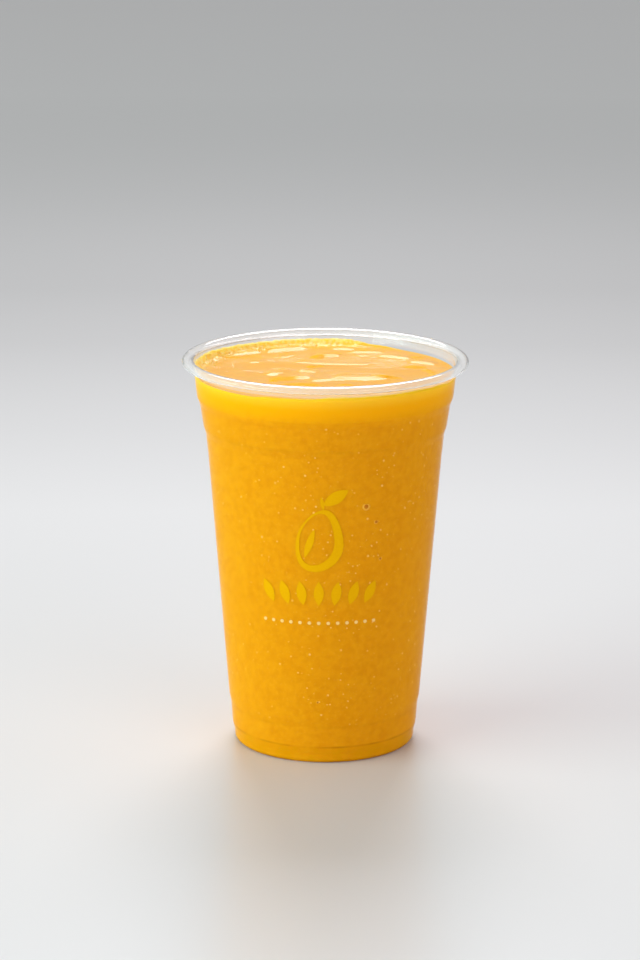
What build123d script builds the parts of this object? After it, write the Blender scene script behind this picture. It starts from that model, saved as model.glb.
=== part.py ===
"""A mango smoothie in a clear takeaway cup.

The cup is thin clear plastic with a rolled rim, a band for a lid, two steps below it, a long
tapered wall and a stepped foot with a pushed-up base. The smoothie is thick, opaque and fills
the cup to a few millimetres below the rim. Sizes are in millimetres, +Z is up, and the origin
is on the surface the cup stands on, at the cup's axis.
"""

from build123d import *
from math import cos, degrees, hypot, radians, sin
import os

# ---------------------------------------------------------------- driving dimensions
cup_height = 135.8
rim_radius = 49.0  # the outside of the rolled rim
foot_radius = 31.2  # the outside of the lowest band
wall = 0.5

# the rolled rim: how wide and tall its section is, and how far round it is rolled
curl_width = 4.2
curl_height = 2.8
curl_turn = 285.0
neck_depth = 4.0  # from the rim's top down to where the wall leaves the roll
neck_flare = 0.4  # how much the wall leans out between there and the roll

# the upper wall, from the neck down: each stretch's height, and how much narrower it ends
lid_band = (9.2, 1.00)
top_step = (2.5, 1.00)
grip_band = (7.7, 1.13)
lower_step = (2.6, 0.87)
narrow_band = (5.7, 0.55)
fine_step = (1.1, 0.15)

# the lower wall, from the standing surface up: each stretch's height, and how much wider it ends
foot_band = (3.4, 0.20)
foot_step = (2.8, 0.70)
heel_band = (7.0, 0.50)
heel_step = (3.2, 0.65)

# the pushed-up base
base_rise = 3.5
base_slope = 2.0  # how far the slope from the standing ring up to the base runs inwards
standing_ring = 3.6  # from the slope out to the foot, before its corner is rounded

# the roundings of the outline
slope_rounding = 0.9
corner_rounding = 1.6
step_rounding = 3.0

# the drink
fill_depth = 5.6  # from the rim's top down to the drink's level
meniscus_rise = 0.7  # how far the drink climbs the wall
meniscus_width = 2.2
fold_rise = 0.45  # how far the folds of the thick surface stand up
fold_crest = 7.0  # the radius of a fold's rounded back

# the folds: the x and y of each one's middle, as shares of the surface's radius, so that they stay
# on it, then its heading, its length and the radius it bends to
folds = [
    (0.14, -0.20, 8.0, 18.0, 30.0),
    (0.05, 0.31, -4.0, 12.0, 24.0),
    (-0.29, 0.07, 24.0, 8.0, 14.0),
    (-0.20, -0.43, -16.0, 11.0, 20.0),
    (0.45, 0.14, 32.0, 7.0, 13.0),
    (0.03, 0.64, 6.0, 9.0, 18.0),
]

# ---------------------------------------------------------------- worked out from the above
mouth_radius = rim_radius - curl_width
neck_height = cup_height - neck_depth
curl_centre = (rim_radius - curl_width / 2, cup_height - curl_height / 2)
drink_level = cup_height - fill_depth
surface_radius = mouth_radius - neck_flare
fold_centre_height = drink_level + fold_rise - fold_crest
ring_inner_radius = foot_radius - standing_ring
base_panel_radius = ring_inner_radius - base_slope


def side_rings():
    """The outer corners of the side wall from the foot up, as (radius, height)."""
    radius, height = foot_radius, 0.0
    rising = []
    for stretch, wider in (foot_band, foot_step, heel_band, heel_step):
        radius, height = radius + wider, height + stretch
        rising.append((radius, height))
    radius, height = mouth_radius + wall - neck_flare, neck_height
    falling = [(radius, height)]
    for stretch, narrower in (lid_band, top_step, grip_band, lower_step, narrow_band, fine_step):
        radius, height = radius - narrower, height - stretch
        falling.append((radius, height))
    return rising + falling[::-1]


def wall_line(inset):
    """One face of the cup's wall, from the axis under the base to where the rim's roll starts.

    An inset of 0 is the outside, and an inset of the wall's thickness is the face that the
    drink lies against, so the cup and the drink always share it.
    """
    slope_shift = inset * (hypot(base_slope, base_rise) - base_slope) / base_rise
    base = [
        (0.0, base_rise + inset),
        (base_panel_radius + slope_shift, base_rise + inset),
        (ring_inner_radius + slope_shift, inset),
        (foot_radius - inset, inset),
    ]
    side = [(radius - inset, height) for radius, height in side_rings()]
    roll_start = (mouth_radius + wall - inset, curl_centre[1])
    roundings = [slope_rounding, slope_rounding, corner_rounding] + [step_rounding] * len(side)
    return FilletPolyline(*base, *side, roll_start, radius=roundings)


def roll_arc(inset):
    """One face of the rim's roll, which goes over the top, down outside and back under."""
    return EllipticalCenterArc(
        curl_centre,
        curl_width / 2 - wall + inset,
        curl_height / 2 - wall + inset,
        start_angle=180.0 - curl_turn,
        arc_size=curl_turn,
    )


# ---------------------------------------------------------------- the cup
with BuildPart() as cup:
    with BuildSketch(Plane.XZ):
        with BuildLine():
            outside = wall_line(0.0)
            inside = wall_line(wall)
            roll_inside = roll_arc(0.0)
            roll_outside = roll_arc(wall)
            Line(roll_inside @ 0, roll_outside @ 0)
            Line(outside @ 0, inside @ 0)
        make_face()
    revolve(axis=Axis.Z)
cup.part.label = "cup"

# ---------------------------------------------------------------- the smoothie
with BuildPart() as smoothie:
    with BuildSketch(Plane.XZ):
        with BuildLine():
            inside = wall_line(wall)
            Polyline(inside @ 1, (0.0, curl_centre[1]), inside @ 0)
        make_face()
        with BuildLine():
            # the space above the drink, down to its level and its meniscus
            contact = (surface_radius, drink_level + meniscus_rise)
            level_end = (contact[0] - meniscus_width, drink_level)
            level = Line((0.0, drink_level), level_end)
            climb = TangentArc(level_end, contact, tangent=(1, 0))
            beyond = (mouth_radius + wall, contact[1])
            Polyline(climb @ 1, beyond, (beyond[0], cup_height), (0.0, cup_height), level @ 0)
        make_face(mode=Mode.SUBTRACT)
    revolve(axis=Axis.Z)
    # low folds of the thick surface, each the back of a round crescent that lies in the drink
    for x_share, y_share, heading, length, bend in folds:
        x, y = x_share * surface_radius, y_share * surface_radius
        turn = length / bend
        outwards = radians(heading - 90.0)
        bend_centre = Vector(x - bend * cos(outwards), y - bend * sin(outwards), fold_centre_height)
        with Locations(Location(bend_centre, (0, 0, degrees(outwards - turn / 2)))):
            Torus(bend, fold_crest, major_angle=degrees(turn), align=None)
            with Locations((bend, 0, 0), (bend * cos(turn), bend * sin(turn), 0)):
                Sphere(fold_crest)
smoothie.part.label = "smoothie"

# ---------------------------------------------------------------- the files
os.makedirs("parts", exist_ok=True)
export_step(cup.part, "parts/cup.step")
export_step(smoothie.part, "parts/smoothie.step")

for name, part in (("cup", cup.part), ("smoothie", smoothie.part)):
    box = part.bounding_box()
    print(f"{name}: {len(part.solids())} solid, {part.volume / 1000:.1f} ml, "
          f"{box.size.X:.1f} x {box.size.Y:.1f} x {box.size.Z:.1f} mm")
print(f"drink level {drink_level:.1f} mm, mouth radius {mouth_radius:.1f} mm")
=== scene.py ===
# %% [markdown]
# # A mango smoothie in a clear takeaway cup
#
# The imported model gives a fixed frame: a thin cup and the drink that fills it, at their real
# size. This lesson dresses that frame. It builds the cup's clear shell with its rolled rim, the
# thick drink with its folds and the film it leaves on the wall, the bubbles caught in it, and
# a small printed mark. Every length is written in millimetres and turned into metres.

# %% Load the frame
import bmesh
import bpy
import random
from math import atan2, cos, degrees, exp, hypot, pi, radians, sin
from mathutils import Matrix, Vector, noise


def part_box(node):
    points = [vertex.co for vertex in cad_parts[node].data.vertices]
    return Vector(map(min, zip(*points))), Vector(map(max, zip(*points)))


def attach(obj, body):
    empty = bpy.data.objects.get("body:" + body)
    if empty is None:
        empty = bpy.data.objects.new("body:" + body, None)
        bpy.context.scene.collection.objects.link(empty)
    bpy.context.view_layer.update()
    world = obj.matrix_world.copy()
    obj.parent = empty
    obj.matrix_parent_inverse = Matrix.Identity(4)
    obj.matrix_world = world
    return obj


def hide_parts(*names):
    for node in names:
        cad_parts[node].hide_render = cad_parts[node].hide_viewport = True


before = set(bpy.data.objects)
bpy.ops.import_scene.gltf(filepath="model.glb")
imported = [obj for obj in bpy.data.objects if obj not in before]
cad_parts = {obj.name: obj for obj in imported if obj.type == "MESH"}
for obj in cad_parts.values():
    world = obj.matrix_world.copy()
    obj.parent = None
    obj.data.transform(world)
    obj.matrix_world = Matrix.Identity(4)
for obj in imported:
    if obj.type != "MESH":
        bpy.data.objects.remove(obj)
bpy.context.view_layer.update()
mm = 0.001

cup_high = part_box("cup")[1]
cup_height = cup_high.z / mm
rim_radius = cup_high.x / mm
print(f"cup: {cup_height:.1f} mm tall, {2 * rim_radius:.1f} mm across the rim")

# %% [markdown]
# ## The camera
#
# A long lens from a little above, as for a product picture, keeps the sides nearly straight and
# still shows the drink's surface. The camera is placed by its distance and its height angle
# round a point near the cup's axis, and it leans a little, as a hand-levelled tripod does.

# %% Camera
camera_lens = 126.4
camera_distance = 1160.6 * mm
camera_elevation = radians(14.5)
camera_lean = radians(0.15)
aim = Vector((-1.70, 0.0, 92.2)) * mm

camera = bpy.data.objects.new("camera", bpy.data.cameras.new("camera"))
camera.data.lens = camera_lens
back = Vector((0, -cos(camera_elevation), sin(camera_elevation)))
camera.location = aim + back * camera_distance
tilt = Matrix.Rotation(pi / 2 - camera_elevation, 3, "X")
camera.rotation_euler = (tilt @ Matrix.Rotation(camera_lean, 3, "Z")).to_euler()
bpy.context.collection.objects.link(camera)
scene = bpy.context.scene
scene.camera = camera
scene.view_settings.view_transform = "Standard"
print(f"camera {camera_distance:.3f} m from the cup")

# %% [markdown]
# ## Shader sums
#
# A material is easier to read as sums than as a web of nodes. `Sum` wraps one output of a node
# and gives it Python's operators, each of which adds a Math node. `Finish` holds one material,
# and its `node` method makes any other node from its type, its settings and its inputs. A shader
# takes linear colours, so `from_screen` makes one from the values that a screen shows.


# %% Shader sums
class Sum:
    """A number that a shader node gives, ready for Python sums."""

    def __init__(self, finish, socket):
        self.finish, self.socket = finish, socket

    def maths(self, operation, *values):
        made = self.finish.node("ShaderNodeMath", {"operation": operation}, dict(enumerate(values)))
        return Sum(self.finish, made.outputs[0])

    def __add__(self, other):
        return self.maths("ADD", self, other)

    def __sub__(self, other):
        return self.maths("SUBTRACT", self, other)

    def __mul__(self, other):
        return self.maths("MULTIPLY", self, other)

    def __truediv__(self, other):
        return self.maths("DIVIDE", self, other)

    def __rsub__(self, other):
        return self.maths("SUBTRACT", other, self)

    def step(self, low, high):
        """0 below low and 1 above high, with a smooth rise between."""
        inputs = {"Value": self, "From Min": low, "From Max": high}
        settings = {"interpolation_type": "SMOOTHSTEP"}
        return Sum(self.finish, self.finish.node("ShaderNodeMapRange", settings, inputs).outputs[0])


# %% Finishes
class Finish:
    """One material, built from nodes."""

    def __init__(self, name):
        self.material = bpy.data.materials.new(name)
        self.material.use_nodes = True
        self.tree = self.material.node_tree
        self.tree.nodes.clear()
        self.places = self.node("ShaderNodeTexCoord").outputs["Object"]

    def node(self, kind, settings=None, inputs=None):
        made = self.tree.nodes.new(kind)
        for key, value in (settings or {}).items():
            if key == "stops":
                while len(made.color_ramp.elements) < len(value):
                    made.color_ramp.elements.new(0.5)
                for stop, (place, colour) in zip(made.color_ramp.elements, value):
                    stop.position, stop.color = place, (*colour, 1.0)
            else:
                setattr(made, key, value)
        for key, value in (inputs or {}).items():
            if isinstance(value, Sum):
                value = value.socket
            if isinstance(value, bpy.types.NodeSocket):
                self.tree.links.new(value, made.inputs[key])
            else:
                made.inputs[key].default_value = value
        return made

    def noise(self, scale, detail=2.0, roughness=0.5, stretch=None):
        """A soft noise from 0 to 1 with this many patches to a metre."""
        places = self.places
        if stretch:
            places = self.node("ShaderNodeMapping", None, {"Vector": places, "Scale": stretch}).outputs[0]
        inputs = {"Vector": places, "Scale": scale, "Detail": detail, "Roughness": roughness}
        return Sum(self, self.node("ShaderNodeTexNoise", None, inputs).outputs[0])

    def height(self):
        """How high above the table a point is, in metres."""
        return Sum(self, self.node("ShaderNodeSeparateXYZ", None, {0: self.places}).outputs["Z"])

    def attribute(self, name):
        return Sum(self, self.node("ShaderNodeAttribute", {"attribute_name": name}).outputs["Fac"])

    def mix(self, share, first, second):
        """A colour that goes from first to second as share goes from 0 to 1."""
        inputs = {0: share, 6: (*first, 1.0) if isinstance(first, tuple) else first}
        inputs[7] = (*second, 1.0) if isinstance(second, tuple) else second
        return self.node("ShaderNodeMix", {"data_type": "RGBA"}, inputs).outputs[2]

    def bump(self, height, distance, strength=1.0):
        inputs = {"Height": height, "Distance": distance, "Strength": strength}
        return self.node("ShaderNodeBump", None, inputs).outputs[0]

    def surface(self, shader):
        self.node("ShaderNodeOutputMaterial", None, {"Surface": shader})
        return self.material


# %% Screen colours
def from_screen(red, green, blue):
    """A linear colour from the usual 0 to 255 screen values, by the sRGB curve."""
    shares = [value / 255 for value in (red, green, blue)]
    return tuple(v / 12.92 if v <= 0.04045 else ((v + 0.055) / 1.055) ** 2.4 for v in shares)


print(f"a screen grey of 128 is {from_screen(128, 128, 128)[0]:.3f} in linear light")

# %% [markdown]
# ## The stage
#
# The cup stands on a pale, slightly shiny sheet that fills the picture. Behind the cup it is
# painted darker, for the light falling off as on a studio's sweep. One flat grid is enough, with a
# colour ramp of painted light and shade along its depth.

# %% Floor
floor_size = 9.0
# the sheet's painted grey, which carries the fall of the light, at some distances behind the cup, in
# metres and in screen values
painted_floor_greys = [
    (-0.3, 220), (-0.1, 221), (0.1, 217), (0.3, 212), (0.45, 197), (0.65, 179), (0.8, 175),
    (1.1, 189), (1.6, 214), (2.4, 211),
]

bm = bmesh.new()
bmesh.ops.create_grid(bm, x_segments=4, y_segments=4, size=floor_size / 2)
floor_mesh = bpy.data.meshes.new("floor")
bm.to_mesh(floor_mesh)
bm.free()
floor = bpy.data.objects.new("floor", floor_mesh)
bpy.context.collection.objects.link(floor)

finish = Finish("pale_sheet")
axes = finish.node("ShaderNodeSeparateXYZ", None, {0: finish.places})
near, far = painted_floor_greys[0][0], painted_floor_greys[-1][0]
depth = (Sum(finish, axes.outputs["Y"]) - near) / (far - near)
stops = [((y - near) / (far - near), from_screen(shade, shade, shade)) for y, shade in painted_floor_greys]
shade = finish.node("ShaderNodeValToRGB", {"stops": stops}, {0: depth}).outputs[0]
sheet = finish.node("ShaderNodeBsdfPrincipled", None, {
    "Base Color": shade, "Roughness": 0.32, "IOR": 1.45,
})
floor_mesh.materials.append(finish.surface(sheet.outputs[0]))
print("floor and its finish")

# %% [markdown]
# ## Lamps and world
#
# A big overhead lamp behind the cup lights the drink's surface and leaves the soft shadow in
# front. A broad lamp on the left makes that side brighter. It isn't mirrored, so that it leaves
# no glare in the sheet when the cup is seen from the right. A weaker lamp at the front right and
# the world fill in the rest. The world has two greys: plastic and wet surfaces mirror a pale one,
# and matt surfaces are lit by a darker one. The powers and tints are given below.

# %% Lamps and world
def softbox(name, place, width, height, watts, tint):
    """A soft rectangular lamp that looks at the cup."""
    lamp = bpy.data.lights.new(name, "AREA")
    lamp.shape = "RECTANGLE"
    lamp.size, lamp.size_y = width, height
    lamp.energy = watts
    lamp.color = tint
    box = bpy.data.objects.new(name, lamp)
    box.location = place
    box.rotation_euler = (lamp_target - Vector(place)).to_track_quat("-Z", "Y").to_euler()
    bpy.context.collection.objects.link(box)
    return box


lamp_target = Vector((0, 0, 0.1))
softbox("overhead", (0.0, 0.68, 0.83), 0.5, 0.6, 6.8, (1.0, 0.96, 1.0))
left_lamp = softbox("left", (-2.2, -0.85, 0.75), 2.4, 1.3, 55.0, (0.85, 1.04, 0.98))
left_lamp.visible_glossy = False
softbox("front_right", (1.6, -2.0, 0.9), 2.0, 1.6, 19.0, (1.0, 0.94, 0.97))

mirrored_grey = (0.62, 0.62, 0.625, 1)
lighting_grey = (0.415, 0.415, 0.42, 1)

world = bpy.data.worlds.new("studio")
scene.world = world
world.use_nodes = True
world_tree = world.node_tree
mirrored = world_tree.nodes["Background"]
mirrored.inputs["Color"].default_value = mirrored_grey
lighting = world_tree.nodes.new("ShaderNodeBackground")
lighting.inputs["Color"].default_value = lighting_grey
world_path = world_tree.nodes.new("ShaderNodeLightPath")
either = world_tree.nodes.new("ShaderNodeMixShader")
world_tree.links.new(world_path.outputs["Is Diffuse Ray"], either.inputs[0])
world_tree.links.new(mirrored.outputs[0], either.inputs[1])
world_tree.links.new(lighting.outputs[0], either.inputs[2])
world_tree.links.new(either.outputs[0], world_tree.nodes["World Output"].inputs[0])
print("three soft lamps, and a world that looks paler than it lights")

# %% [markdown]
# ## The shape they share
#
# The cup's wall and the drink's side follow one outline, a stack of rings from the foot to the
# rim. The outline is written once, as the height of each stretch and how much the cup widens or
# narrows over it, and an inset of the wall's thickness gives the face the drink lies against.

# %% The outline
wall = 0.5
curl_width, curl_height, curl_turn = 4.2, 2.8, 285.0
neck_depth, neck_flare = 4.0, 0.4
foot_radius, base_rise, base_slope, standing_ring = 31.2, 3.5, 2.0, 3.6
rising = [(3.4, 0.20), (2.8, 0.70), (7.0, 0.50), (3.2, 0.65)]
falling = [(9.2, 1.00), (2.5, 1.00), (7.7, 1.13), (2.6, 0.87), (5.7, 0.55), (1.1, 0.15)]
slope_rounding, corner_rounding, step_rounding = 0.5, 1.6, 0.4

mouth_radius = rim_radius - curl_width
curl_middle = (rim_radius - curl_width / 2, cup_height - curl_height / 2)


def side_rings():
    """The outer corners of the side from the foot up, as (radius, height)."""
    radius, height, low = foot_radius, 0.0, []
    for stretch, wider in rising:
        radius, height = radius + wider, height + stretch
        low.append((radius, height))
    radius, height = mouth_radius + wall - neck_flare, cup_height - neck_depth
    high = [(radius, height)]
    for stretch, narrower in falling:
        radius, height = radius - narrower, height - stretch
        high.append((radius, height))
    return low + high[::-1]


def base_corners(inset):
    shift = inset * (hypot(base_slope, base_rise) - base_slope) / base_rise
    ring = foot_radius - standing_ring
    return [
        (0.0, base_rise + inset),
        (ring - base_slope + shift, base_rise + inset),
        (ring + shift, inset),
        (foot_radius - inset, inset),
    ]


def side_corners(inset):
    rings = [(radius - inset, height) for radius, height in side_rings()]
    return rings + [(mouth_radius + wall - inset, curl_middle[1])]


def side_radius(height, inset):
    """How far the side is from the axis at a height, without its roundings."""
    corners = [(foot_radius - inset, 0.0)] + side_corners(inset)
    for (r0, z0), (r1, z1) in zip(corners, corners[1:]):
        if height <= z1:
            return r0 + (r1 - r0) * (height - z0) / (z1 - z0)
    return corners[-1][0]


print(f"{len(side_corners(0))} rings up the side")

# %% [markdown]
# ## Turning a section
#
# The cup is formed over a round mould, so it is modelled like turned work: half of its section
# is drawn as a flat face, the corners are rounded by a vertex bevel, and the section's edges are
# spun round the axis. That is simpler than shaping a cylinder, and every ring stays exact.

# %% Section helpers
# in metres: points nearer than the first are one point, and nearer the axis than the second on it
same_place, on_axis = 1e-6, 1e-7


def rounded_face(bm, corners, roundings):
    """A face in the XZ plane with rounded corners. roundings gives each corner's cut, or 0."""
    verts = [bm.verts.new((r * mm, 0, z * mm)) for r, z in corners]
    bm.faces.new(verts)
    for size in sorted(set(roundings) - {0.0}):
        picked = [v for v, cut in zip(verts, roundings) if cut == size]
        bmesh.ops.bevel(
            bm, geom=picked, offset=size * mm, offset_type="OFFSET", affect="VERTICES",
            segments=5, profile=0.5, material=-1,
        )


def turn_section(bm, turns):
    """Spins the edge of the section round the axis and closes the shell."""
    off_axis = [e for e in bm.edges if max(v.co.x for v in e.verts) > on_axis]
    edges = [e for e in off_axis if len(e.link_faces) == 1]
    bmesh.ops.delete(bm, geom=list(bm.faces), context="FACES_ONLY")
    loose = [e for e in bm.edges if e not in set(edges)]
    bmesh.ops.delete(bm, geom=loose, context="EDGES")
    verts = list({v for e in edges for v in e.verts})
    bmesh.ops.spin(
        bm, geom=verts + edges, cent=(0, 0, 0), axis=(0, 0, 1), angle=2 * pi, steps=turns,
        use_merge=True,
    )
    bmesh.ops.remove_doubles(bm, verts=bm.verts, dist=same_place)
    bmesh.ops.recalc_face_normals(bm, faces=bm.faces)


def finished(bm, name, *materials):
    """A shown piece from a bmesh, smooth all over, riding on the part's one body."""
    mesh = bpy.data.meshes.new(name)
    bm.to_mesh(mesh)
    bm.free()
    mesh.polygons.foreach_set("use_smooth", [True] * len(mesh.polygons))
    for material in materials:
        mesh.materials.append(material)
    piece = bpy.data.objects.new(name, mesh)
    bpy.context.collection.objects.link(piece)
    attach(piece, "root")
    triangles = sum(len(p.vertices) - 2 for p in mesh.polygons)
    print(f"{name}: {triangles} triangles")
    return piece


# %% [markdown]
# ## Clear plastic
#
# The cup is thin clear PET. A Principled shader with transmission bends and mirrors light, much
# as the plastic does. Two plastics are made from it, and neither has PET's true index of
# refraction, which is about 1.57. The bare rim bends light less than that
# and is a tenth pale, so that the roll reads as a pale line and not a dark one. Where the drink
# backs the wall, the view should hardly bend, because there is no air between. Cycles lets no
# lamp through bent glass. So a shadow ray, and a ray from a matt surface, meet a transparent
# shader instead, and the drink behind the wall is lit. A slow waviness in the normal and the
# roughness stands for the drawn sheet's unevenness.

# %% Clear plastic
def clear_plastic(name, ior, waviness, clearness):
    finish = Finish(name)
    waves = finish.noise(60.0, 2.0, 0.5, (1, 1, 0.4))
    tint = finish.mix(waves, (0.985, 0.99, 0.99), (0.995, 0.995, 0.99))
    plastic = finish.node("ShaderNodeBsdfPrincipled", None, {
        "Base Color": tint,
        "Roughness": waves * 0.02 + 0.02,
        "IOR": ior,
        "Transmission Weight": clearness,
        "Normal": finish.bump(waves, 0.2 * mm, waviness),
    })
    clear = finish.node("ShaderNodeBsdfTransparent").outputs[0]
    path = finish.node("ShaderNodeLightPath")
    shader = plastic.outputs[0]
    for ray in ("Is Diffuse Ray", "Is Shadow Ray"):
        inputs = {0: path.outputs[ray], 1: shader, 2: clear}
        shader = finish.node("ShaderNodeMixShader", None, inputs).outputs[0]
    return finish.surface(shader)


rim_plastic = clear_plastic("clear_rim", ior=1.36, waviness=0.03, clearness=0.9)
wall_plastic = clear_plastic("clear_wall", ior=1.05, waviness=0.3, clearness=1.0)
print("two clear plastics: the bare rim and the wall that is backed by the drink")

# %% [markdown]
# ## The cup
#
# The section is the wall's two faces joined at the axis and at the mouth. The rolled rim is made
# as it is formed: the wall's top edge is swung outwards and down round the roll's middle, which
# is a second spin, in the section's own plane. A scale then makes the roll a little flatter.
# The faces above the drink get the rim's plastic and the rest the wall's.

# %% The cup
roll_steps, cup_turns = 40, 192
fill_height = cup_height - 5.6
bare_above = fill_height + 0.5

bm = bmesh.new()
outer = base_corners(0.0) + side_corners(0.0)
inner = base_corners(wall) + side_corners(wall)
cuts = [0.0, slope_rounding, slope_rounding, corner_rounding]
cuts += [step_rounding] * len(side_rings()) + [0.0]
rounded_face(bm, outer + inner[::-1], cuts + cuts[::-1])

top = curl_middle[1] * mm
mouth_edge = next(e for e in bm.edges if all(abs(v.co.z - top) < same_place for v in e.verts))
section = set(bm.verts)
roll_middle = Vector((curl_middle[0] * mm, 0, top))
bmesh.ops.spin(
    bm, geom=[mouth_edge, *mouth_edge.verts], cent=roll_middle, axis=(0, 1, 0),
    angle=radians(curl_turn), steps=roll_steps,
)
roll = [v for v in bm.verts if v not in section]
bmesh.ops.scale(
    bm, vec=(1, 1, curl_height / curl_width), verts=roll,
    space=Matrix.Translation(-roll_middle),
)
turn_section(bm, cup_turns)
shell = finished(bm, "cup_shell", rim_plastic, wall_plastic)
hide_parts("cup")

for polygon in shell.data.polygons:
    polygon.material_index = 0 if polygon.center.z > bare_above * mm else 1

# %% [markdown]
# ## Mango puree
#
# The drink is opaque, wet and a deep yellow orange. Its colour is nearly even, with fine pulp
# and a few darker flecks, and a mottled band in the foot. Thin lines of painted shade darken it
# where it fills the wall's steps, and a painted contact shadow darkens it at the foot. Just under
# the surface light comes in from above as well; a thick drink shows that as a brighter yellow,
# which is painted here. The open surface has a wet coat, which the side lacks where it lies
# against the plastic. Light spreads a few millimetres inside the drink, so the shader has some
# subsurface scattering, and a faint painted glow, an emission, near its top and on the film.
# Attributes on the mesh say where the surface is wet, where a film clings to the wall, and where
# a deeper amber shade is painted, with less coat, round the beads.

# %% Puree colours
side_orange = from_screen(237, 160, 15)
deep_orange = from_screen(229, 149, 10)
pale_pulp = from_screen(244, 172, 26)
# the next two colours are painted light near the drink's top, not its own colour
painted_light_yellow = from_screen(250, 176, 6)
painted_glow_yellow = from_screen(255, 197, 44)
top_orange = from_screen(246, 171, 26)
film_cream_and_back_light = from_screen(255, 226, 134)
film_amber_and_back_light = from_screen(253, 202, 72)
painted_amber_shade = from_screen(246, 172, 0)
foot_gold = from_screen(228, 156, 4)
painted_crease_shade = from_screen(190, 118, 0)
print("the side's orange in linear light:", *(f"{share:.3f}" for share in side_orange))

# %% Painted shade lines and painted glow
# each line of painted shade where the drink fills a step, the lowest a painted contact shadow at the
# foot: its height, how far it fades up and down, and its strength
painted_shade_lines = [
    (122.4, 1.2, 0.12), (112.2, 1.2, 0.14), (13.3, 1.0, 0.12), (6.0, 0.6, 0.75), (0.0, 1.5, 0.9),
]
# a faint painted glow, an emission, near the side's top and on the film
painted_side_glow = (0.07, 0.022, 0.0)
painted_film_glow = (0.08, 0.03, 0.0)
glow_depth = 16.0
print(f"{len(painted_shade_lines)} darker lines where the drink fills the wall's steps")

# %% Mango puree
finish = Finish("mango_puree")
above = finish.height()


def rising_share(low, high):
    """0 below one height and 1 above another, both in millimetres."""
    return above.step(low * mm, high * mm)


pulp = finish.noise(420.0, 3.0, 0.6).step(0.3, 0.75)
clouds = finish.noise(140.0, 2.0, 0.5).step(0.4, 0.8)
spots = finish.noise(950.0, 1.0, 0.5).step(0.56, 0.72)
flecks = finish.noise(900.0, 1.0, 0.5).step(0.68, 0.76)
colour = finish.mix(pulp, side_orange, deep_orange)
colour = finish.mix(clouds * 0.2 + spots * 0.35, colour, pale_pulp)
colour = finish.mix(flecks * 0.35, colour, deep_orange)

in_foot = 1 - rising_share(5.2, 6.0)
mottle = finish.noise(300.0, 2.0, 0.6, (1, 1, 0.35)).step(0.42, 0.6)
colour = finish.mix(in_foot * (mottle * 0.6 + 0.3), colour, foot_gold)
uneven = finish.noise(70.0, 3.0, 0.6, (1, 1, 0.2)).step(0.36, 0.62) * 0.85 + 0.15
# painted shade: brown lines in the steps' creases and a painted contact shadow at the foot
for middle, fade, strength in painted_shade_lines:
    line = rising_share(middle - fade, middle) * (1 - rising_share(middle, middle + fade))
    colour = finish.mix(line * uneven * strength, colour, painted_crease_shade)

# painted light: the side turns a brighter yellow near the top, where light comes in through the surface
colour = finish.mix(rising_share(fill_height - 10.5, fill_height - 3.0), colour, painted_light_yellow)
colour = finish.mix(rising_share(fill_height - 4.0, fill_height + 0.8), colour, painted_glow_yellow)
wet, film, juice = (finish.attribute(name) for name in ("wet", "film", "juice"))
colour = finish.mix(wet, colour, top_orange)
foam = finish.noise(700.0, 2.0, 0.5).step(0.42, 0.62)
# the film's own yellow and cream, painted brighter as if lit from behind through the wall
colour = finish.mix(film, colour, finish.mix(foam, film_amber_and_back_light, film_cream_and_back_light))
# painted shade: a deeper amber, with less coat, round the beads
colour = finish.mix(juice, colour, painted_amber_shade)

# painted glow: emission where there is no lamp
near_top = rising_share(fill_height - glow_depth, fill_height) * (1 - wet)
glow = finish.mix(near_top, (0.0, 0.0, 0.0), painted_side_glow)
glow = finish.mix(film * wet, glow, painted_film_glow)
puree = finish.node("ShaderNodeBsdfPrincipled", None, {
    "Base Color": colour,
    "Roughness": 0.5,
    "Specular IOR Level": 0.02,
    "Subsurface Weight": 0.4,
    "Subsurface Radius": (1.0, 0.7, 0.1),
    "Subsurface Scale": 4.0 * mm,
    "Emission Color": glow,
    "Emission Strength": 1.0,
    "Coat Weight": wet * (1 - juice * 0.9) * 0.64,
    "Coat Roughness": 0.09,
    "Coat IOR": 1.36,
})
mango_puree = finish.surface(puree.outputs[0])
print(f"mango puree, from {len(puree.id_data.nodes)} nodes")

# %% [markdown]
# ## The drink's surface
#
# A thick drink keeps the shape it was poured in: low folds, small beads, and a film that
# it left on the wall behind and on the left, where it once stood higher. Sculpting these would
# give one fixed mesh. Here they are sums of smooth bumps, each listed, with a slow swell
# and a little noise, so that any of them can be moved by its numbers. Round the beads a deeper
# amber shade is painted.

# %% Folds, beads and film
drink_inset = 0.1
surface_radius = side_radius(fill_height, drink_inset)

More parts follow.
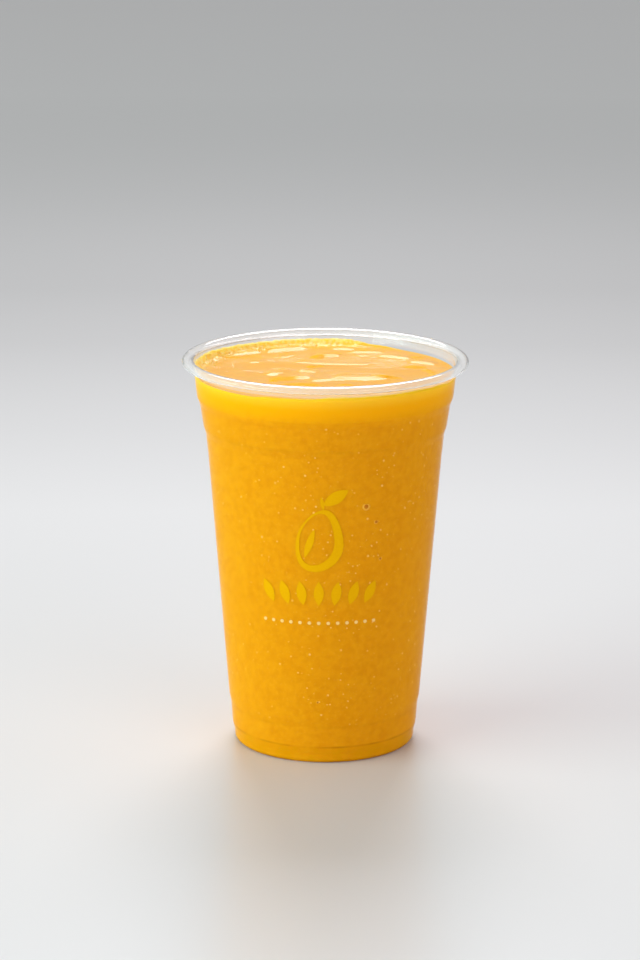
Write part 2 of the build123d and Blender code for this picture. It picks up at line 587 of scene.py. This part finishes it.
# each fold: its middle's x and y, its heading, its length, its width in front and behind, its
# height and the radius it bends to
folds = [
    (12.0, -9.4, 2.0, 17.0, 2.6, 5.0, 0.80, 90.0),
    (0.2, -12.0, 19.0, 10.0, 1.5, 4.0, 0.50, 40.0),
    (-8.0, -8.6, 0.0, 6.0, 1.5, 3.0, 0.60, 20.0),
    (-6.2, 0.8, -15.0, 6.0, 1.2, 3.0, 0.45, 20.0),
    (-15.5, 0.0, 55.0, 10.0, 2.0, 3.5, 0.55, 40.0),
    (2.5, 13.2, -6.0, 26.0, 0.9, 3.0, 0.25, 90.0),
    (1.4, 26.0, 8.0, 7.0, 1.6, 3.0, 0.70, 30.0),
    (-13.0, 25.0, 45.0, 8.0, 1.3, 3.0, 0.45, 30.0),
    (-24.5, 15.0, 0.0, 3.5, 1.0, 2.0, 0.30, 20.0),
    (-27.3, 30.0, 39.0, 11.0, 1.6, 2.5, 0.50, -40.0),
    (-13.7, 36.2, 24.0, 14.0, 2.0, 2.5, 0.60, -40.0),
    (7.0, 37.5, -8.0, 8.0, 1.4, 2.5, 0.40, -40.0),
    (14.6, 32.0, -5.0, 11.0, 1.4, 2.5, 0.45, -60.0),
    (13.2, 26.2, 0.0, 5.0, 1.1, 2.0, 0.30, 40.0),
    (24.5, 24.0, -25.0, 12.0, 1.6, 2.5, 0.50, -40.0),
    (33.7, 15.5, -24.0, 9.0, 1.5, 2.5, 0.50, -40.0),
]
# each bead: its x and y, how far it reaches along x and y, and its height; a deeper amber shade is
# painted round it
beads = [
    (21.5, -8.8, 2.8, 1.2, 0.7), (-14.5, -9.8, 2.6, 1.9, 0.4), (-17.6, -13.6, 1.0, 0.8, 0.55),
    (-8.3, -19.6, 3.6, 1.8, 0.35), (-2.8, 23.8, 1.6, 1.6, 0.65), (-4.5, 8.8, 1.3, 0.9, 0.45),
    (-1.8, 10.0, 0.8, 0.7, 0.35), (31.0, 8.2, 2.4, 1.5, 0.55), (6.8, -19.6, 1.5, 0.8, 0.4),
    (-4.2, -24.0, 1.6, 0.9, 0.45), (1.4, -24.0, 1.4, 0.9, 0.45), (19.8, -21.5, 1.6, 0.9, 0.4),
    (34.6, 3.6, 1.0, 0.9, 0.4), (37.4, -3.4, 1.2, 0.9, 0.45), (36.0, 0.6, 0.8, 0.8, 0.35),
    (-32.6, 21.6, 1.5, 1.1, 0.5), (31.8, 24.0, 1.6, 1.1, 0.5),
]
# how far the film climbs the wall, in millimetres, at some directions round the axis in degrees
film_marks = [
    (0, 0.1), (50, 0.1), (66, 0.8), (82, 2.3), (135, 2.4), (150, 2.8), (185, 2.7), (201, 0.2),
    (236, 0.1), (246, 0.7), (262, 0.8), (274, 1.5), (309, 1.5), (326, 1.0), (342, 0.1), (360, 0.1),
]
print(f"{len(folds)} folds and {len(beads)} beads, {2 * surface_radius:.1f} mm across at the surface")


# %% The drink's surface
def smooth(low, high, value):
    share = min(max((value - low) / (high - low), 0.0), 1.0)
    return share * share * (3 - 2 * share)


def film_climb(direction):
    turn = degrees(direction) % 360
    for (start, first), (end, last) in zip(film_marks, film_marks[1:]):
        if turn <= end:
            return first + (last - first) * smooth(start, end, turn)


def ragged(direction, detail, seed):
    return noise.noise(Vector((cos(direction) * detail, sin(direction) * detail, seed)))


def fold_rise(x, y):
    total = 0.0
    for fx, fy, heading, length, front, behind, height, bend in folds:
        along = (x - fx) * cos(radians(heading)) + (y - fy) * sin(radians(heading))
        across = (y - fy) * cos(radians(heading)) - (x - fx) * sin(radians(heading))
        across -= along * along / (2 * bend)
        width = front if across < 0 else behind
        ends = smooth(length / 2 + 2.0, length / 2 - 2.0, abs(along))
        total += height * ends * exp(-(across / width) ** 2)
    return total


def bead_share(x, y, bead, spread):
    """1 at a bead's middle, fading over its reach times spread."""
    bx, by, wide, deep, _ = bead
    return exp(-((x - bx) / (wide * spread)) ** 2 - ((y - by) / (deep * spread)) ** 2)


def surface_marks(x, y):
    """The drink's rise over its level in millimetres, and its shares of film and of painted amber shade.
    """
    reach, direction = hypot(x, y), atan2(y, x)
    swell = noise.noise(Vector((x * 0.05, y * 0.10, 1.7))) * 0.30
    ripple = noise.noise(Vector((x * 0.22, y * 0.40, 4.2))) * 0.05
    gap = max(surface_radius - reach, 0.0)
    climb = film_climb(direction)
    clinging = smooth(0.5, 2.0, climb)
    climb += clinging * (0.30 * ragged(direction, 22.0, 0.3) + 0.25 * ragged(direction, 60.0, 7.1))
    near_wall = exp(-gap / (0.6 + 0.8 * clinging))
    behind = smooth(-0.4, 0.1, sin(direction))
    lumps = noise.noise(Vector((x * 0.7, y * 0.7, 2.2))) * 0.35 * clinging * smooth(7.0, 1.5, gap)
    rise = (fold_rise(x, y) + swell + ripple) * smooth(0.0, 3.0, gap) + lumps * smooth(0.0, 0.8, gap)
    beaded = sum(bead[4] * bead_share(x, y, bead, 1.0) for bead in beads)
    juice = max(bead_share(x, y, bead, 1.8) for bead in beads)
    torn_gap = gap + 1.5 * noise.noise(Vector((x * 0.3, y * 0.3, 9.0)))
    film_share = clinging * behind * smooth(6.0, 0.5, torn_gap)
    return rise + beaded + climb * near_wall, film_share, smooth(0.15, 0.6, juice)


middle_rise = surface_marks(0.0, 0.0)[0]
print(f"the surface's middle lies {middle_rise:.2f} mm over its level")

# %% [markdown]
# ## The drink
#
# The drink is turned from the cup's outline, set well into the wall: a filled cup looks full to
# its very edge, and no air shows between them. The line across its top is cut into many short
# pieces before it is turned, which makes a disc of many rings. Each point of that disc is then
# raised by the sums above, and three attributes carry what the finish needs to know.

# %% The drink
surface_rings, drink_turns = 135, 400

bm = bmesh.new()
corners = base_corners(drink_inset)
corners += [corner for corner in side_corners(drink_inset) if corner[1] < fill_height - 1]
cuts = [0.0, slope_rounding, slope_rounding, corner_rounding]
cuts += [step_rounding] * (len(corners) - 4)
under_lip = (side_radius(fill_height - 0.5, drink_inset), fill_height - 0.5)
lip = (surface_radius, fill_height)
rounded_face(bm, corners + [under_lip, lip, (0.0, fill_height)], cuts + [0.0, 0.0, 0.0])

level = fill_height * mm
surface_line = next(e for e in bm.edges if all(abs(v.co.z - level) < same_place for v in e.verts))
bmesh.ops.subdivide_edges(bm, edges=[surface_line], cuts=surface_rings)
turn_section(bm, drink_turns)

wet_mark, film_mark, amber_shade_mark = (bm.verts.layers.float.new(name) for name in ("wet", "film", "juice"))
for v in bm.verts:
    if abs(v.co.z - level) > same_place:
        continue
    x, y = v.co.x / mm, v.co.y / mm
    rise, v[film_mark], v[amber_shade_mark] = surface_marks(x, y)
    v[wet_mark] = 1.0
    v.co.z = (fill_height + rise) * mm
    if hypot(x, y) > surface_radius - 0.01:
        v[wet_mark] = 0.0
        out = side_radius(fill_height + rise, drink_inset) / hypot(x, y)
        v.co.x, v.co.y = v.co.x * out, v.co.y * out
drink = finished(bm, "drink", mango_puree)
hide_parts("smoothie")

# %% [markdown]
# ## Bubbles
#
# Blending traps air in the drink. A modeller could scatter instances with Geometry Nodes, but a
# few hundred small spheres joined in one mesh export as they are. One sphere is made once and
# copied, which is much quicker than making each. Each copy is flattened against the surface it
# sits on, and the random draws start from a fixed seed.

# %% Bubble helpers
bubble_seed = 11
draw = random.Random(bubble_seed)

pattern = bmesh.new()
bmesh.ops.create_uvsphere(pattern, u_segments=8, v_segments=5, radius=1.0)
pattern.verts.index_update()
print(f"one bubble has {len(pattern.faces)} faces")


def add_bubble(bm, place, out, size, flatness):
    """A copy of the small sphere, at a place in millimetres, flattened along out."""
    turn = Vector(out).to_track_quat("Z", "Y").to_matrix().to_4x4()
    squash = Matrix.Diagonal((size * mm, size * mm, size * flatness * mm, 1.0))
    matrix = Matrix.Translation(Vector(place) * mm) @ turn @ squash
    verts = [bm.verts.new(matrix @ v.co) for v in pattern.verts]
    for face in pattern.faces:
        bm.faces.new([verts[v.index] for v in face.verts])


def on_wall(direction, height, inset):
    """A place on the side and the way out from there."""
    reach = side_radius(height, inset)
    out = (cos(direction), sin(direction), 0.0)
    return (reach * out[0], reach * out[1], height), out


def bubble_finish(name, colour, second, gloss):
    finish = Finish(name)
    shades = finish.noise(1500.0, 1.0, 0.5).step(0.4, 0.6)
    skin = finish.node("ShaderNodeBsdfPrincipled", None, {
        "Base Color": finish.mix(shades, colour, second),
        "Roughness": 0.45,
        "Specular IOR Level": 0.0,
        "Coat Weight": gloss,
        "Coat Roughness": 0.08,
    })
    return finish.surface(skin.outputs[0])


# %% [markdown]
# ## Bubbles on the wall
#
# Small pale bubbles lie against the wall all round. They aren't even: a slow noise gathers them
# in patches, and there are more at the front right and fewer near the foot. Each draw that the
# patches refuse is made again, until enough bubbles are placed.

# %% Bubbles on the wall
wall_bubble_count = 680
lowest, highest = 14.0, 121.0
thickest_side = radians(325)
bubble_inset, bubble_flatness = 0.07, 0.15

bm = bmesh.new()
made = 0
while made < wall_bubble_count:
    direction, height = draw.uniform(0, 2 * pi), draw.uniform(lowest, highest)
    patch = noise.noise(Vector((cos(direction) * 3.0, sin(direction) * 3.0, height * 0.06)))
    likely = 0.22 + 0.0025 * height + 0.25 * cos(direction - thickest_side) + 0.7 * patch
    if draw.random() > likely:
        continue
    size = 0.18 + 0.30 * draw.random() ** 2
    place, out = on_wall(direction, height, bubble_inset)
    add_bubble(bm, place, out, size, bubble_flatness)
    made += 1
pale_bubbles = bubble_finish("pale_bubbles", from_screen(252, 192, 88), from_screen(248, 180, 62), 0.0)
wall_bubbles = finished(bm, "wall_bubbles", pale_bubbles)

# %% [markdown]
# ## Froth on the film
#
# A froth of small bubbles clings to the film behind and on the left. Most of its bubbles lie close
# to the wall, so their distance from it is drawn from one half of a bell curve. They are wet, like
# the surface they sit on, and rest at its height.

# %% Froth on the film
froth_count = 300
froth_start, froth_end, froth_middle = 70, 204, 150
froth_gap, froth_spread, froth_flatness = 0.25, 2.2, 0.3

bm = bmesh.new()
for _ in range(froth_count):
    direction = radians(draw.triangular(froth_start, froth_end, froth_middle))
    gap = abs(draw.gauss(0.0, froth_spread)) + froth_gap
    reach = surface_radius - gap
    x, y = reach * cos(direction), reach * sin(direction)
    size = 0.16 + 0.34 * draw.random() ** 2
    add_bubble(bm, (x, y, fill_height + surface_marks(x, y)[0]), (0, 0, 1), size, froth_flatness)
froth_finish = bubble_finish("froth", from_screen(255, 220, 110), from_screen(253, 202, 72), 0.3)
froth = finished(bm, "froth", froth_finish)

# %% [markdown]
# ## Pits and specks
#
# A bubble that has opened against the wall leaves a pit. Its dark middle is painted shade and its
# pale ring a painted highlight. There are only a few, so they are listed one by one. Each is two
# flat discs, the smaller in front.

# %% Pits and specks
# each pit: how far right of the front it lies along the wall, its height, and its radius
pits = [(14.1, 92.6, 1.25), (17.8, 86.8, 0.7), (19.5, 73.5, 0.6), (-2.3, 22.8, 0.4)]
ring_share, ring_inset, ring_flatness = 1.25, 0.08, 0.04
middle_share, middle_inset, middle_flatness = 0.75, 0.05, 0.05

bm_rings, bm_middles = bmesh.new(), bmesh.new()
for across, height, size in pits:
    direction = across / side_radius(height, 0.0) - pi / 2
    place, out = on_wall(direction, height, ring_inset)
    add_bubble(bm_rings, place, out, size * ring_share, ring_flatness)
    place, out = on_wall(direction, height, middle_inset)
    add_bubble(bm_middles, place, out, size * middle_share, middle_flatness)
# a painted highlight for each pit's ring and painted shade for its middle
pit_highlight_finish = bubble_finish("pit_highlight_rings", from_screen(246, 180, 66), from_screen(242, 170, 50), 0.0)
pit_shade_finish = bubble_finish("pit_shade_middles", from_screen(196, 112, 26), from_screen(206, 124, 34), 0.0)
pit_highlight_rings = finished(bm_rings, "pit_highlight_rings", pit_highlight_finish)
pit_shade_middles = finished(bm_middles, "pit_shade_middles", pit_shade_finish)

# %% [markdown]
# ## The print
#
# Such cups carry a small print in one or two inks. This one has a plain mango with a leaf, a row
# of small leaves and a row of dots. Each flat shape is drawn in the picture plane, sliced so that
# it can bend, wrapped round the tapered wall and given the thickness of a layer of ink.

# %% Ink
# how far the ink goes into the wall, how far it stands proud, and how wide a slice is
ink_depth, ink_height, slice_width = 0.08, 0.02, 1.2


def ink(name, colour, second):
    finish = Finish(name)
    grain = finish.noise(1800.0, 2.0, 0.6).step(0.35, 0.65)
    layer = finish.node("ShaderNodeBsdfPrincipled", None, {
        "Base Color": finish.mix(grain, colour, second),
        "Roughness": 0.5,
        "Specular IOR Level": 0.0,
    })
    return finish.surface(layer.outputs[0])


print(f"a layer of ink is {ink_depth + ink_height:.2f} mm thick")


# %% Outlines for the print
def lens(x, z, length, width, heading, steps=10):
    """A leaf's outline: two arcs from tip to tip."""
    along = [length * (i / steps - 0.5) for i in range(steps + 1)]
    bulge = [width / 2 * (1 - (2 * a / length) ** 2) for a in along]
    upper = list(zip(along, bulge))
    flat = upper + [(a, -b) for a, b in upper[-2:0:-1]]
    c, s = cos(radians(heading)), sin(radians(heading))
    return [(x + a * c - b * s, z + a * s + b * c) for a, b in flat]


def oval(x, z, wide, tall, lean=0.0, corners=40):
    """A round outline that narrows and leans to one side as it rises."""
    outline = []
    for i in range(corners):
        turn = 2 * pi * i / corners
        up = sin(turn)
        across = wide * cos(turn) * (1 - 0.10 * lean * up) + lean * up * abs(up)
        outline.append((x + across, z + tall * up))
    return outline


# %% Drawing and wrapping
def drawn(bm, outline):
    """A flat face from points (x, z) in the picture plane, in millimetres."""
    return bm.faces.new([bm.verts.new((x, 0, z)) for x, z in outline])


def ring(bm, outer, inner):
    """The area between two outlines of as many points."""
    loops = []
    for outline in (outer, inner):
        verts = [bm.verts.new((x, 0, z)) for x, z in outline]
        loops.append([bm.edges.new((a, b)) for a, b in zip(verts, verts[1:] + verts[:1])])
    bmesh.ops.bridge_loops(bm, edges=loops[0] + loops[1])


def wrapped(bm, name, material):
    """Slices the flat drawing, wraps it round the wall and thickens it."""
    half_width = max(abs(v.co.x) for v in bm.verts)
    cut = -half_width
    while cut < half_width:
        everything = list(bm.verts) + list(bm.edges) + list(bm.faces)
        bmesh.ops.bisect_plane(bm, geom=everything, plane_co=(cut, 0, 0), plane_no=(1, 0, 0))
        cut += slice_width
    extruded = bmesh.ops.extrude_face_region(bm, geom=list(bm.faces), use_keep_orig=True)
    raised = {v for v in extruded["geom"] if isinstance(v, bmesh.types.BMVert)}
    for v in bm.verts:
        turn = v.co.x / side_radius(v.co.z, 0.0) - pi / 2
        reach = side_radius(v.co.z, 0.0) + (ink_height if v in raised else -ink_depth)
        v.co = Vector((reach * cos(turn), reach * sin(turn), v.co.z)) * mm
    bmesh.ops.recalc_face_normals(bm, faces=bm.faces)
    piece = finished(bm, name, material)
    piece.data.polygons.foreach_set("use_smooth", [False] * len(piece.data.polygons))


# %% [markdown]
# ## The printed mango, leaves and dots
#
# The mango is a ring between two ovals, with a leaf and a stalk above it and a small highlight
# inside. Under it a row of leaves fans out, and a row of dots closes the print. Loops place what
# repeats, from a count and a spacing.

# %% The printed mango, leaves and dots
yellow_ink = ink("yellow_ink", from_screen(239, 179, 9), from_screen(236, 173, 7))
pale_ink = ink("pale_ink", from_screen(255, 214, 132), from_screen(252, 206, 118))

mango_x, mango_z = -1.8, 81.0
bm = bmesh.new()
outside = oval(mango_x, mango_z, 8.0, 11.0, 1.6)
inside = oval(mango_x - 0.9, mango_z + 0.5, 5.9, 9.2, 1.4)
ring(bm, outside, inside)
drawn(bm, lens(mango_x - 3.4, mango_z - 1.0, 11.0, 2.4, 72.0))
drawn(bm, lens(mango_x + 5.4, mango_z + 15.2, 10.0, 4.2, 32.0))
drawn(bm, lens(mango_x + 0.9, mango_z + 13.2, 5.0, 1.3, 100.0))
wrapped(bm, "printed_mango", yellow_ink)

row_middle = -2.0
leaf_count, leaf_spacing, leaf_height, leaf_fan = 7, 5.9, 62.2, 9.0
bm = bmesh.new()
for i in range(leaf_count):
    from_middle = i - (leaf_count - 1) / 2
    leaf_x = row_middle + from_middle * leaf_spacing
    drawn(bm, lens(leaf_x, leaf_height, 8.6, 3.4, 90.0 - from_middle * leaf_fan))
wrapped(bm, "printed_leaves", yellow_ink)

dot_count, dot_spacing, dot_height, dot_radius = 13, 3.2, 51.6, 0.62
bm = bmesh.new()
for i in range(dot_count):
    dot_x = row_middle + (i - (dot_count - 1) / 2) * dot_spacing
    drawn(bm, oval(dot_x, dot_height, dot_radius, dot_radius, 0.0, 12))
wrapped(bm, "printed_dots", pale_ink)
